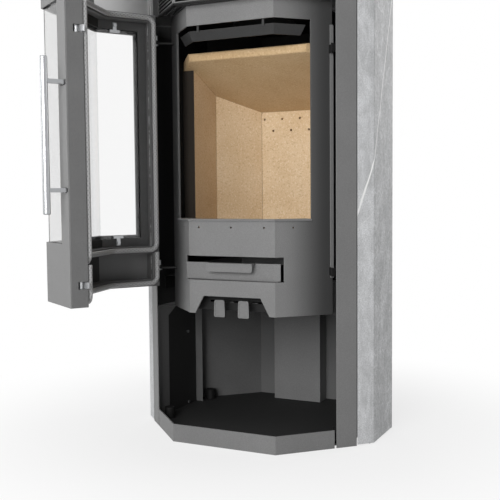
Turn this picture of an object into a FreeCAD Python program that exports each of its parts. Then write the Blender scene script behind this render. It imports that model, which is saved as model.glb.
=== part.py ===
"""Soapstone wood-burning stove with a three-facet door that stands open.

Millimetres. The origin is on the floor, under the centre of the eight-sided plan.
X runs to the right seen from the front, Y to the back and Z up.
"""
import FreeCAD
import Part
import math
import os

from FreeCAD import Vector

# Plan of the casing: eight sides that meet at 45 degrees
front_half = 125.0
facet_depth = 164.0
depth = 468.0

# Heights of the body
plinth_height = 39.5
bay_floor_top = 12.0
base_plate_top = 360.0
sill_top = 496.0
lintel_bottom = 921.0
front_plate_bottom = 285.0
front_plate_top = 964.0
firebox_top_level = 948.0
body_top = 1070.0
top_stone_thickness = 36.0
flue_height = 46.0

# Sheet metal
casing_sheet = 2.0
wall_sheet = 1.5
plinth_sheet = 3.0
body_plate = 4.0
shell_plate = 3.0
fit_gap = 0.3
cut_over = 1.0
tolerance = 0.01

# Base and log bay
plinth_side_gap = 5.0
plinth_ledge = 18.0
side_channel = 49.0
post_overlap = 8.0
post_width = 19.0
guide_strip_lead = 42.0
guide_strip_width = 52.0
gusset_run = 34.0
gusset_rise = 18.0
gusset_top = 12.0
duct_depth = 46.0
duct_cover_half = 64.0
foot_from_wall = 24.0
foot_before_stone = 27.0
foot_behind_post = 33.0
foot_pad_radius = 13.0
foot_stud_radius = 5.0
foot_knob_height = 26.0
knob_chamfer = 2.0
screw_head_radius = 4.0
wall_screw_setback = 42.0
wall_screw_low = 18.0
wall_screw_high = 201.0
rear_slot_count = 5
rear_slot_pitch = 16.0
rear_slot_height = 7.0
rear_slot_half = 80.0
rail_leg = 34.0
rear_flange_space = 6.0

# Jambs and soapstone
jamb_width = 48.03
jamb_return = 18.0
hinge_notch_width = 16.0
hinge_notch_below = 1.0
hinge_notch_above = 2.0
wall_tab_from_hinge = 9.0
stone_thickness = 28.5
stone_gap = 1.6
stone_foot = 3.0
stone_arris = 1.2
shelf_setback = 9.0

# Front plate of the firebox
plate_inset = 48.0
plate_lap = 13.0
opening_margin = 50.0
sill_thickness = 4.0
sill_overhang = 4.0
sill_depth = 34.0
slot_half = 119.5
slot_height = 54.0
cutout_height = 39.5
cutout_top_half = 70.0
cutout_bottom_half = 92.0
air_hole_radius = 2.3
air_hole_pitch = 80.0
air_hole_drop = 18.5
side_hole_from_edge = 42.0

# Deflector behind the lintel
deflector_top = 910.0
deflector_height = 21.0
deflector_end_gap = 9.0
deflector_inset = 54.0
deflector_lean = 9.0
deflector_sheet = 2.5
deflector_taper = 8.0
hanger_x = 79.0
hanger_width = 5.0
hanger_lap_low = 4.0
hanger_lap_high = 20.0

# Firebox, measured at the faces of the lining
firebox_side_space = 135.5
firebox_rear_space = 108.0
rear_slab_trim = 57.0
lining_thickness = 30.0
lining_joint = 0.4
hearth_level = 428.0
hearth_sheet = 3.0
base_post_gap = 1.0
base_corner_trim = 4.0
base_plate_trim = 2.0
base_side_start = 6.0
floor_thickness = 30.0
rear_hole_radius = 2.6
rear_hole_pitch = 24.0
rear_hole_drop = 18.4
rear_hole_step = 29.0
rear_hole_count = 6
rear_hole_overrun = 5.0

# Baffle: a plate that falls towards the back
baffle_front = 130.0
baffle_front_half = 146.0
baffle_front_level = 858.0
baffle_fall = 0.4416
baffle_rise = 21.0
baffle_nose = 5.0
baffle_side_gap = 2.0

# Grate and ash drawer
grate_side_reach = 32.0
grate_end_space = 33.0
grate_forward = 7.0
grate_thickness = 20.0
grate_rim = 12.0
grate_bar = 8.0
grate_slot = 9.0
drawer_half = 115.4
drawer_front_depth = 54.0
drawer_front_sheet = 2.0
drawer_front_bottom = 362.5
drawer_front_top = 399.5
drawer_lip_half = 56.0
drawer_lip_reach = 18.0
drawer_lip_drop = 19.0
drawer_lip_corner = 6.0
tray_half = 108.0
tray_length = 262.0
tray_height = 36.0

# Air box and levers
air_box_front = 80.0
air_box_half = 120.0
air_box_length = 170.0
air_box_bottom = 290.0
lever_x = 29.5
lever_travel_out = 26.0
lever_tab_width = 27.5
lever_tab_height = 38.0
lever_tab_thickness = 6.0
lever_tab_bottom = 279.0
lever_tab_front = 46.0
lever_arm_width = 14.0
lever_arm_thickness = 4.0
lever_arm_level = 308.0
lever_arm_length = 70.0
lever_shoe_width = 36.0
lever_tab_taper = 1.5
lever_tab_corner = 4.0
lever_recess_margin = 4.0
lever_recess_depth = 0.8

# Door, drawn closed and then swung open
door_bottom = 338.0
door_top = 1060.0
door_side_gap = 5.0
door_skin = 2.5
door_open_angle = 78.0
rim_width = 16.0
rim_inset = 35.4
upper_flange = 12.0
glass_inset = 5.0
glass_thickness = 4.0
glass_margin = 11.0
glass_border = 8.0
tape_setback = 2.0
window_bottom = 458.0
window_top = 918.0
window_from_edge = 43.0
inner_frame_inset = 11.0
inner_frame_sheet = 2.0
seal_radius = 5.5
seal_corner = 16.0
gentle_turn = math.radians(30)
mid_rim_level = 423.5
top_rim_level = 954.0
clip_along = 45.0
clip_width = 24.0
clip_neck = 9.0
clip_height = 23.0
clip_sheet = 1.5
clip_screw_from_glass = 17.0
clip_screw_radius = 4.0
clip_screw_height = 3.0
clip_edge_gap = 1.0

# Hinges on the left
hinge_from_jamb = 8.0
hinge_inset = 10.0
hinge_low = 380.0
hinge_high = 905.0
hinge_plate = 4.0
hinge_eye = 7.0
pin_radius = 4.0
pin_running_gap = 0.05
pin_height = 16.0
pin_head_rim = 2.0
pin_head_height = 3.0
bracket_foot = 20.0
bracket_half = 7.0
bracket_front = 4.0
bracket_side = 9.0
bracket_back = 8.0
hinge_arm_root = 20.0
hinge_arm_edge = 1.0
hinge_arm_offset = 2.0
hinge_arm_overlap = 0.5

# Latch and handle on the right
latch_from_edge = 11.0
latch_inset = 25.0
latch_radius = 5.0
shaft_end = 8.0
latch_low = 380.0
latch_high = 860.0
finger_length = 20.0
finger_thickness = 4.0
finger_height = 12.0
latch_turn = 30.0
latch_room = 9.0
finger_clearance = 1.0
handle_lean = 85.0
handle_radius = 65.0
handle_bar = 7.0
handle_low = 560.0
handle_high = 760.0
handle_overrun = 45.0
handle_arm = 8.0
handle_clearance = 1.0
handle_slot_lead = 20.0
handle_end_round = 2.5
keeper_height = 18.0
keeper_lip = 9.0
keeper_sheet = 2.0
keeper_clearance = 1.0
keeper_strip_width = 8.0
keeper_strip_low = 366.0
keeper_strip_high = 912.0
panel_bracket_drop = 20.0
panel_bracket_near = 2.0
panel_bracket_far = 10.0

# Top
valance_inset = 14.0
valance_bottom = 966.0
valance_past_hinge = 8.0
valance_tab_start = 2.0
valance_tab_end = 4.0
louvre_head = 38.0
louvre_pitch = 8.0
louvre_bar = 2.0
louvre_end = 12.0
louvre_web = 5.0
grille_level = 964.0
grille_sheet = 2.0
grille_slot_count = 2
grille_slot = 9.4
grille_edge = 4.3
grille_bar = 6.4
grille_end = 14.0
grille_web = 12.0
top_arris = 3.0
plate_pipe_gap = 1.0
stone_pipe_gap = 4.0
flue_radius = 75.0
flue_wall = 2.0
flue_flange = 18.0
flue_shoulder = 2.5
shoulder_rise = 2.0
inlet_radius = 50.0
inlet_length = 36.0
inlet_level = 150.0
inlet_stub = 20.0
inlet_rim = 12.0

half_root = math.sqrt(0.5)
corner_shift = math.tan(math.radians(22.5))
front_y = -depth / 2
base_plate_bottom = base_plate_top - body_plate
half_width = front_half + facet_depth
casing_wall_x = half_width - side_channel
post_depth = depth - facet_depth + post_overlap
duct_cover_depth = depth - casing_sheet - duct_depth
lining_half = half_width - firebox_side_space
lining_rear = depth - firebox_rear_space
lining_rear_half = front_half - rear_slab_trim
lining_front = facet_depth
guide_strip_front = facet_depth - guide_strip_lead
grate_half_width = lining_rear_half + grate_side_reach
grate_half_depth = (lining_rear - lining_front) / 2 - grate_end_space
grate_centre = (lining_rear + lining_front) / 2 - grate_forward
baffle_rear_level = baffle_front_level - baffle_fall * (lining_rear - baffle_front)
rear_hole_level = baffle_rear_level - rear_hole_drop
sill_bottom = sill_top - sill_thickness
stone_face = half_width - stone_thickness
jamb_end = (stone_face - front_half) / half_root - stone_gap
jamb_start = jamb_end - jamb_width
plinth_reach = jamb_start - plinth_side_gap
plate_reach = jamb_start + plate_lap
opening_reach = plate_reach - opening_margin
side_hole_along = opening_reach - side_hole_from_edge
deflector_reach = opening_reach - deflector_end_gap
door_reach = jamb_start - door_side_gap
window_reach = door_reach - window_from_edge
hinge_along = jamb_start + hinge_from_jamb
latch_along = door_reach - latch_from_edge
plate_back = plate_inset + body_plate
far = 2000.0


def polygon(points, level=0.0):
    """Closed wire through plan points at one level."""
    corners = [Vector(x, y, level) for x, y in points]
    return Part.makePolygon(corners + corners[:1])


def prism(points, low, high):
    """Upright solid over a plan outline."""
    return Part.Face(polygon(points, low)).extrude(Vector(0, 0, high - low))


def box(x_range, y_range, z_range):
    """Rectangular solid between pairs of limits."""
    size = [limits[1] - limits[0] for limits in (x_range, y_range, z_range)]
    return Part.makeBox(*size, Vector(x_range[0], y_range[0], z_range[0]))


def upright(radius, x, y, low, high):
    """Upright cylinder."""
    return Part.makeCylinder(radius, high - low, Vector(x, y, low))


def crosswise(radius, x, y, z, length):
    """Cylinder that runs from front to back."""
    return Part.makeCylinder(radius, length, Vector(x, y, z), Vector(0, 1, 0))


def deep(distance):
    """Y of a plane at this distance behind the front facet."""
    return front_y + distance


def facet_point(side, along, inset):
    """Plan point on a slanting front facet: along it from the front corner, inset behind its face."""
    x = front_half + (along - inset) * half_root
    return side * x, deep((along + inset) * half_root)


def facet_block(side, along, inset, heights):
    """Block square to a slanting front facet."""
    corners = [(along[0], inset[0]), (along[1], inset[0]), (along[1], inset[1]), (along[0], inset[1])]
    return prism([facet_point(side, *corner) for corner in corners], *heights)


def front_path(inset, reach):
    """Line parallel to the three front facets, from left end to right end."""
    corner = inset * corner_shift
    stations = [(-1, reach), (-1, corner), (1, corner), (1, reach)]
    return [facet_point(side, along, inset) for side, along in stations]


def folded_outline(inset, thickness, reach):
    """Plan outline of a plate folded along the three front facets."""
    return front_path(inset, reach) + front_path(inset + thickness, reach)[::-1]


def folded_plate(inset, thickness, reach, low, high):
    """Plate folded along the three front facets."""
    return prism(folded_outline(inset, thickness, reach), low, high)


def clear_of_folds(slots, inset, web):
    """Slots in a folded plate, broken by a web on both sides of each fold."""
    for side in (-1, 1):
        fold_x = side * (front_half - inset * corner_shift)
        slots = slots.cut(box((fold_x - web, fold_x + web), (-far, 0), (-far, far)))
    return slots


def behind(inset, low, high):
    """All space behind the three front facets at this inset."""
    return prism(front_path(inset, far) + [(far * 2, far * 2), (-far * 2, far * 2)], low, high)


def octagon(inset):
    """Plan outline of the casing, moved inwards."""
    x = half_width - inset
    y = depth / 2 - inset
    corner_x = front_half - inset * corner_shift
    corner_y = y - (x - corner_x)
    quarter = [(corner_x, y), (x, corner_y)]
    right = [(a, -b) for a, b in quarter] + [(a, b) for a, b in quarter[::-1]]
    return right + [(-a, b) for a, b in right[::-1]]


def firebox_outline(grow, front):
    """Plan outline of the firebox round the lining's faces, moved outwards."""
    side = lining_half + grow
    rear = lining_rear + grow
    chamfer = lining_rear_half + lining_rear + grow / half_root
    right = [(side, deep(front)), (side, deep(chamfer - side)), (chamfer - rear, deep(rear))]
    return right + [(-x, y) for x, y in right[::-1]]


def fuse(solids):
    """One solid from several that touch or overlap."""
    joined = solids[0]
    for solid in solids[1:]:
        joined = joined.fuse(solid)
    return joined.removeSplitter()


def mirrored(shape):
    """Copy on the other side of the middle plane."""
    return shape.mirror(Vector(0, 0, 0), Vector(1, 0, 0))


def group(solids):
    """Separate solids in one node."""
    return Part.makeCompound(solids)


def round_path(points, radius, closed):
    """Wire of straight runs joined by tangent arcs."""
    edges = []
    count = len(points)
    turns = range(count) if closed else range(1, count - 1)
    starts = {}
    ends = {}
    for i in turns:
        corner = points[i]
        before = (points[i - 1] - corner).normalize()
        after = (points[(i + 1) % count] - corner).normalize()
        half_turn = (math.pi - before.getAngle(after)) / 2
        bend = radius if half_turn > gentle_turn else radius / 2
        cut = bend * math.tan(half_turn)
        bisector = (before + after).normalize()
        middle = corner + bisector * (bend / math.cos(half_turn) - bend)
        ends[i] = corner + before * cut
        starts[i] = corner + after * cut
        edges.append((i, Part.Arc(ends[i], middle, starts[i]).toShape()))
    arcs = dict(edges)
    path = []
    for i in range(count if closed else count - 1):
        following = (i + 1) % count
        run_start = starts.get(i, points[i])
        run_end = ends.get(following, points[following])
        path.append(Part.LineSegment(run_start, run_end).toShape())
        if following in arcs:
            path.append(arcs[following])
    return Part.Wire(path)


def rope(points, radius, closed=True):
    """Round cord along a path of points."""
    path = round_path(points, seal_corner, closed)
    first = path.Edges[0]
    start = first.valueAt(first.FirstParameter)
    direction = first.tangentAt(first.FirstParameter)
    section = Part.Wire(Part.Circle(start, direction, radius).toShape())
    return path.makePipeShell([section], True, False)


def swing(shape):
    """Turn a closed door piece to where the door stands open."""
    hinge_x, hinge_y = facet_point(-1, hinge_along, hinge_inset)
    shape.rotate(Vector(hinge_x, hinge_y, 0), Vector(0, 0, 1), -door_open_angle)
    return shape


def save(name, shape):
    """Write one piece."""
    shape.exportStep("parts/" + name + ".step")


def bay_outline(step):
    """Plan outline inside the plinth, the jambs and the casing."""
    notch = jamb_return + wall_sheet
    wall_line = casing_wall_x - fit_gap
    wall_along = (wall_line - front_half) / half_root + notch
    right = [facet_point(1, step * corner_shift, step), facet_point(1, plinth_reach, step)]
    right += [facet_point(1, plinth_reach, notch), facet_point(1, wall_along, notch)]
    rear_inset = casing_sheet + fit_gap
    right += [(wall_line, depth / 2 - rear_inset / half_root - (wall_line - front_half))]
    right += [(front_half - rear_inset * corner_shift, depth / 2 - rear_inset)]
    return right + [(-x, y) for x, y in right[::-1]]


def make_base():
    """Plinth with its strip, base plate and ledge, the floor of the log bay and the levelling feet."""
    floor_bottom = bay_floor_top - casing_sheet
    strip = folded_plate(0, plinth_sheet, plinth_reach, 0, plinth_height)
    ledge_heights = (floor_bottom - plinth_sheet, floor_bottom)
    ledge = folded_plate(plinth_sheet, plinth_ledge, plinth_reach, *ledge_heights)
    bottom = prism(bay_outline(plinth_sheet), 0, plinth_sheet)
    floor = prism(bay_outline(plinth_sheet + fit_gap), floor_bottom, bay_floor_top)
    feet = []
    for side in (-1, 1):
        for distance in (facet_depth - foot_before_stone, post_depth + foot_behind_post):
            x = side * (casing_wall_x - foot_from_wall)
            y = deep(distance)
            floor = floor.cut(upright(foot_stud_radius + fit_gap, x, y, 0, plinth_height))
            bottom = bottom.cut(upright(foot_pad_radius + fit_gap, x, y, 0, plinth_height))
            pad = upright(foot_pad_radius, x, y, 0, floor_bottom - fit_gap)
            knob_low = bay_floor_top + fit_gap
            stud = upright(foot_stud_radius, x, y, floor_bottom - fit_gap, knob_low)
            knob = upright(foot_pad_radius, x, y, knob_low, knob_low + foot_knob_height)
            knob = knob.makeChamfer(knob_chamfer, [knob.Edges[0]])
            feet.append(fuse([pad, stud, knob]))
    save("base_plinth", fuse([strip, ledge, bottom]))
    save("bay_floor", floor)
    save("levelling_feet", group(feet))


def make_jambs():
    """Upright steel strips beside the door, the left one notched for the hinge plates."""
    face = facet_block(1, (jamb_start, jamb_end), (0, casing_sheet), (0, body_top))
    outer_along = (jamb_end - casing_sheet, jamb_end)
    outer = facet_block(1, outer_along, (casing_sheet, jamb_return), (0, body_top))
    right = fuse([face, outer])
    left = mirrored(right)
    notch_along = (jamb_start - cut_over, jamb_start + hinge_notch_width)
    notch_inset = (-cut_over, casing_sheet + cut_over)
    for level in (hinge_low, hinge_high):
        notch_bottom = level - fit_gap - hinge_notch_below
        notch_top = level + hinge_plate * 2 + hinge_notch_above
        left = left.cut(facet_block(-1, notch_along, notch_inset, (notch_bottom, notch_top)))
    save("right_jamb", right)
    save("left_jamb", left)


def make_casing():
    """Side walls with their folded posts, the rear casing, duct cover and small fittings."""
    top = body_top - casing_sheet
    wall_back = casing_wall_x + wall_sheet
    tab_back = casing_sheet + wall_sheet
    wall_along = (casing_wall_x - front_half) / half_root + casing_sheet
    tab_along = (hinge_along + wall_tab_from_hinge, wall_along)
    tab = facet_block(1, tab_along, (casing_sheet, tab_back), (bay_floor_top, top))
    tab_end = facet_point(1, wall_along, casing_sheet)
    wall_front = tab_end[1] + wall_sheet
    wall = box((casing_wall_x, wall_back), (wall_front, deep(post_depth)), (bay_floor_top, top))
    corner_outline = [tab_end, facet_point(1, wall_along, tab_back)]
    corner_outline += [(casing_wall_x, wall_front), (wall_back, wall_front)]
    corner = prism(corner_outline, bay_floor_top, top)
    post_x = (casing_wall_x - post_width, wall_back)
    post = box(post_x, (deep(post_depth) - wall_sheet, deep(post_depth)), (bay_floor_top, top))
    right = fuse([tab, corner, wall, post])
    save("right_casing_wall", right)
    save("left_casing_wall", mirrored(right))

    strip_x = (casing_wall_x - wall_sheet, casing_wall_x)
    strip_y = (deep(guide_strip_front), deep(guide_strip_front + guide_strip_width))
    gusset_low = front_plate_bottom - gusset_top
    gusset_rear = strip_y[1] + gusset_run
    outline = [(strip_y[0], bay_floor_top), (strip_y[1], bay_floor_top)]
    outline += [(strip_y[1], gusset_low - gusset_rise), (gusset_rear, gusset_low)]
    outline += [(gusset_rear, front_plate_bottom), (strip_y[0], front_plate_bottom)]
    corners = [Vector(strip_x[0], y, z) for y, z in outline]
    strip = Part.Face(Part.makePolygon(corners + corners[:1])).extrude(Vector(wall_sheet, 0, 0))
    save("guide_strips", group([strip, mirrored(strip)]))

    screws = []
    head = casing_sheet
    for side in (-1, 1):
        for level in (wall_screw_low, wall_screw_high):
            start = Vector(side * (casing_wall_x - head), deep(post_depth) - wall_screw_setback, level)
            screws.append(Part.makeCylinder(screw_head_radius, head, start, Vector(side, 0, 0)))
    save("wall_screws", group(screws))

    ring = prism(octagon(0), 0, body_top).cut(prism(octagon(casing_sheet), 0, body_top))
    rear_start = depth / 2 - facet_depth + casing_sheet
    keep = box((-far, far), (rear_start, far), (0, body_top))
    flange_x = (wall_back + fit_gap, half_width - rear_flange_space)
    flange = box(flange_x, (rear_start, rear_start + casing_sheet), (0, body_top))
    casing = fuse([ring.common(keep), flange, mirrored(flange)])
    for i in range(rear_slot_count):
        level = front_plate_top + rear_slot_pitch * i
        slot_z = (level, level + rear_slot_height)
        casing = casing.cut(box((-rear_slot_half, rear_slot_half), (0, far), slot_z))
    opening = crosswise(inlet_radius + fit_gap, 0, 0, inlet_level, far)
    save("rear_casing", casing.cut(opening))

    cover_y = deep(duct_cover_depth)
    rear_face = depth / 2 - casing_sheet
    heights = (bay_floor_top, base_plate_bottom)
    face = box((-duct_cover_half, duct_cover_half), (cover_y, cover_y + wall_sheet), heights)
    web = box((duct_cover_half - wall_sheet, duct_cover_half), (cover_y, rear_face), heights)
    save("duct_cover", fuse([face, web, mirrored(web)]))

    rear_out = depth / 2
    stub_length = inlet_stub + casing_sheet * 2
    stub = crosswise(inlet_radius - wall_sheet, 0, rear_face - inlet_stub, inlet_level, stub_length)
    rim = crosswise(inlet_radius + inlet_rim, 0, rear_out, inlet_level, casing_sheet)
    tube = crosswise(inlet_radius, 0, rear_out + casing_sheet, inlet_level, inlet_length)
    bore = crosswise(inlet_radius - wall_sheet * 2, 0, 0, inlet_level, far)
    save("air_inlet_collar", fuse([stub, rim, tube]).cut(bore))

    leg = (casing_wall_x - rail_leg, casing_wall_x)
    rail_y = (deep(plate_back + plate_reach * half_root), deep(post_depth) - wall_sheet - fit_gap)
    shelf = box(leg, rail_y, (base_plate_bottom - casing_sheet, base_plate_bottom))
    leg_x = (casing_wall_x - casing_sheet, casing_wall_x)
    upright_leg = box(leg_x, rail_y, (base_plate_bottom - rail_leg, base_plate_bottom))
    rail = fuse([shelf, upright_leg])
    save("support_rails", group([rail, mirrored(rail)]))


def make_stones():
    """Side slabs with their mitred front edge, their shelves, and the top slab with the flue collar."""
    side_rear = depth / 2 - facet_depth
    inner_front = (stone_face, deep(stone_face - front_half))
    outer_front = (half_width, deep(facet_depth))
    outline = [inner_front, outer_front, (half_width, side_rear), (stone_face, side_rear)]
    slab = prism(outline, stone_foot, body_top)
    arrises = []
    for edge in slab.Edges:
        upright_edge = edge.Length > body_top / 2
        if upright_edge and edge.CenterOfMass.x > stone_face + stone_arris:
            arrises.append(edge)
    slab = slab.makeChamfer(stone_arris, arrises)
    save("right_stone", slab)
    save("left_stone", mirrored(slab))

    shelf_y = (inner_front[1] + stone_thickness, side_rear)
    foot = box((stone_face - casing_sheet, half_width - shelf_setback), shelf_y, (0, stone_foot))
    back = box((stone_face - casing_sheet, stone_face), shelf_y, (stone_foot, plinth_height))
    shelf = fuse([foot, back])
    save("stone_shelves", group([shelf, mirrored(shelf)]))

    plate_top = body_top + casing_sheet
    pipe_radius = flue_radius + flue_shoulder
    hole = upright(pipe_radius + plate_pipe_gap, 0, 0, 0, far)
    save("top_plate", prism(octagon(casing_sheet), body_top, plate_top).cut(hole))

    top = plate_top + top_stone_thickness
    slab = prism(octagon(0), plate_top, top)
    slab = slab.makeChamfer(top_arris, slab.Faces[-1].Edges)
    save("top_stone", slab.cut(upright(pipe_radius + stone_pipe_gap, 0, 0, 0, far)))

    low = firebox_top_level + shell_plate
    pipe = upright(pipe_radius, 0, 0, low, top + shoulder_rise)
    spigot = upright(flue_radius, 0, 0, low, top + flue_height)
    flange = upright(pipe_radius + flue_flange, 0, 0, low, low + body_plate)
    bore = upright(flue_radius - flue_wall, 0, 0, 0, far)
    save("flue_collar", fuse([pipe, spigot, flange]).cut(bore))

    valance_reach = hinge_along + valance_past_hinge
    valance = folded_plate(valance_inset, casing_sheet, valance_reach, valance_bottom, body_top)
    slot_front = valance_inset - cut_over
    slot_depth = casing_sheet + cut_over * 2
    louvre_count = int((body_top - valance_bottom - louvre_head) / louvre_pitch)
    for i in range(louvre_count):
        level = valance_bottom + louvre_bar + louvre_pitch * i
        heights = (level, level + louvre_pitch - louvre_bar)
        slots = folded_plate(slot_front, slot_depth, hinge_along - louvre_end, *heights)
        valance = valance.cut(clear_of_folds(slots, valance_inset + casing_sheet, louvre_web))
    tab_along = (jamb_start + valance_tab_start, hinge_along - valance_tab_end)
    tab = facet_block(1, tab_along, (casing_sheet, valance_inset), (grille_level, body_top))
    save("top_valance", fuse([valance, tab, mirrored(tab)]))

    grille_front = valance_inset + casing_sheet
    grille_depth = plate_back - grille_front
    grille_top = grille_level + grille_sheet
    grille = folded_plate(grille_front, grille_depth, jamb_start, grille_level, grille_top)
    for i in range(grille_slot_count):
        slot_inset = grille_front + grille_edge + (grille_slot + grille_bar) * i
        slots = folded_plate(slot_inset, grille_slot, jamb_start - grille_end, 0, far)
        grille = grille.cut(clear_of_folds(slots, slot_inset + grille_slot, grille_web))
    save("convection_grille", grille)


def make_firebox():
    """Welded firebox: base, shell, front plate with its openings, hearth and top."""
    base_half = casing_wall_x - post_width - base_post_gap
    base_rear = lining_rear + lining_thickness + shell_plate + casing_sheet
    base_corner = side_channel - base_corner_trim
    base_reach = plate_reach - base_plate_trim
    outline = [facet_point(1, base_reach, plate_back), (base_half, deep(facet_depth + base_side_start))]
    outline += [(base_half, deep(base_rear - base_corner)), (base_half - base_corner, deep(base_rear))]
    front = front_path(plate_back, base_reach)
    rear = [(-x, y) for x, y in outline[1:]][::-1]
    base = prism(front[1:3] + outline + rear + front[:1], base_plate_bottom, base_plate_top)
    save("firebox_base", base)

    plate = folded_plate(plate_inset, body_plate, plate_reach, front_plate_bottom, front_plate_top)
    cut_start = plate_inset - body_plate
    cut_depth = body_plate * 3
    fire_opening = folded_plate(cut_start, cut_depth, opening_reach, sill_bottom, lintel_bottom)
    slot_top = base_plate_top + slot_height
    slot_y = (deep(cut_start), deep(cut_start + cut_depth * 3))
    slot = box((-slot_half, slot_half), slot_y, (base_plate_top, slot_top))
    cut_top = front_plate_bottom + cutout_height
    corners = [(-cutout_bottom_half, front_plate_bottom - cut_over), (-cutout_top_half, cut_top)]
    corners += [(-x, z) for x, z in corners[::-1]]
    trapezoid = [Vector(x, deep(cut_start), z) for x, z in corners]
    cutout = Part.Face(Part.makePolygon(trapezoid + trapezoid[:1])).extrude(Vector(0, cut_depth, 0))
    plate = plate.cut(fire_opening).cut(slot).cut(cutout)
    hole_level = sill_top - air_hole_drop
    for i in (-1, 0, 1):
        hole = crosswise(air_hole_radius, i * air_hole_pitch, deep(cut_start), hole_level, cut_depth)
        plate = plate.cut(hole)
    for side in (-1, 1):
        x, y = facet_point(side, side_hole_along, cut_start)
        start = Vector(x, y, hole_level)
        plate = plate.cut(Part.makeCylinder(air_hole_radius, cut_depth, start, Vector(-side, 1, 0)))
    save("firebox_front", plate)

    sill_inset = plate_inset - sill_overhang
    sill = folded_plate(sill_inset, sill_depth, opening_reach - fit_gap, sill_bottom, sill_top)
    save("sill", sill)

    room = behind(plate_back, 0, far)
    outer = prism(firebox_outline(lining_thickness + shell_plate, 0), base_plate_top, firebox_top_level)
    inner = prism(firebox_outline(lining_thickness, -far), 0, far)
    save("firebox_shell", outer.cut(inner).common(room))

    top_level = firebox_top_level
    lid = prism(firebox_outline(lining_thickness + shell_plate, 0), top_level, top_level + shell_plate)
    flue_hole = upright(flue_radius - flue_wall, 0, 0, 0, far)
    save("firebox_top", lid.common(room).cut(flue_hole))

    hearth = prism(firebox_outline(lining_thickness, 0), hearth_level - hearth_sheet, hearth_level)
    ash_x = grate_half_width - grate_rim
    ash_y = grate_half_depth - grate_rim
    centre = deep(grate_centre)
    ash_hole = box((-ash_x, ash_x), (centre - ash_y, centre + ash_y), (0, far))
    save("hearth_plate", hearth.common(room).cut(ash_hole))

    low = deflector_top - deflector_height
    low_inset = deflector_inset + deflector_lean
    low_reach = deflector_reach - deflector_taper
    low_outline = folded_outline(low_inset, deflector_sheet, low_reach)
    top_outline = folded_outline(deflector_inset, deflector_sheet, deflector_reach)
    wires = [polygon(low_outline, low), polygon(top_outline, deflector_top)]
    save("air_deflector", Part.makeLoft(wires, True, True))

    hangers = []
    hanger_y = (deep(plate_back), deep(deflector_inset))
    hanger_z = (deflector_top - hanger_lap_low, lintel_bottom + hanger_lap_high)
    for side in (-1, 1):
        x = side * hanger_x
        hangers.append(box((x - hanger_width / 2, x + hanger_width / 2), hanger_y, hanger_z))
    save("deflector_hangers", group(hangers))


def baffle_underside(distance):
    """Level of the baffle's lower face at a distance behind the front facet."""
    return baffle_front_level - (distance - baffle_front) * baffle_fall


def under_baffle(lift, low):
    """All space below a plane parallel to the baffle's lower face."""
    front_level = baffle_underside(0) + lift
    rear_level = baffle_underside(depth) + lift
    corners = [(0, low), (0, front_level), (depth, rear_level), (depth, low)]
    section = [Vector(-half_width, deep(y), z) for y, z in corners]
    return Part.Face(Part.makePolygon(section + section[:1])).extrude(Vector(half_width * 2, 0, 0))


def make_lining():
    """Vermiculite slabs round the fire, the sloping baffle, the floor and the grate."""
    inner = firebox_outline(0, lining_front)
    outer = firebox_outline(lining_thickness, lining_front)
    below = under_baffle(0, hearth_level)
    hole_start = deep(lining_rear - rear_hole_overrun)
    hole_length = lining_thickness + rear_hole_overrun * 2
    names = ["lining_right", "lining_rear_right", "lining_rear", "lining_rear_left", "lining_left"]
    for i, name in enumerate(names):
        quad = [Vector(*inner[i]), Vector(*inner[i + 1]), Vector(*outer[i + 1]), Vector(*outer[i])]
        along = (quad[1] - quad[0]).normalize() * (lining_joint / 2)
        quad = [quad[0] + along, quad[1] - along, quad[2] - along, quad[3] + along]
        slab = prism([(corner.x, corner.y) for corner in quad], hearth_level, far).common(below)
        if name == "lining_rear":
            first = -(rear_hole_count - 1) / 2
            for k in range(rear_hole_count):
                x = (first + k) * rear_hole_pitch
                level = rear_hole_level - rear_hole_step * (k % 2)
                slab = slab.cut(crosswise(rear_hole_radius, x, hole_start, level, hole_length))
        save(name, slab)

    seat = lining_joint
    centre = deep(grate_centre)
    floor = prism(firebox_outline(-seat, lining_front), hearth_level, hearth_level + floor_thickness)
    grate_hole_x = (-grate_half_width - seat, grate_half_width + seat)
    grate_hole_y = (centre - grate_half_depth - seat, centre + grate_half_depth + seat)
    save("lining_floor", floor.cut(box(grate_hole_x, grate_hole_y, (0, far))))

    grate_y = (centre - grate_half_depth, centre + grate_half_depth)
    grate_z = (hearth_level, hearth_level + grate_thickness)
    grate = box((-grate_half_width, grate_half_width), grate_y, grate_z)
    pitch = grate_bar + grate_slot
    slot_count = int((2 * (grate_half_width - grate_rim) + grate_bar) / pitch)
    start = -(slot_count * pitch - grate_bar) / 2
    slot_y = (grate_y[0] + grate_rim, grate_y[1] - grate_rim)
    for i in range(slot_count):
        x = start + i * pitch
        grate = grate.cut(box((x, x + grate_slot), slot_y, (0, far)))
    save("grate", grate)

    lap = lining_thickness - baffle_side_gap
    side = lining_half + lap
    rear = firebox_outline(lap, baffle_front + side - baffle_front_half)
    right = [(baffle_front_half, deep(baffle_front))] + rear[:3]
    outline = right + [(-x, y) for x, y in right[::-1]]
    plan = prism(outline, 0, far)
    plate = plan.common(under_baffle(baffle_rise, 0)).cut(under_baffle(0, -cut_over))
    nose = [edge for edge in plate.Edges if abs(edge.CenterOfMass.y - deep(baffle_front)) < tolerance]
    nose = [edge for edge in nose if abs(edge.CenterOfMass.x) < tolerance]
    save("baffle", plate.makeFillet(baffle_nose, nose))


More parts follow.
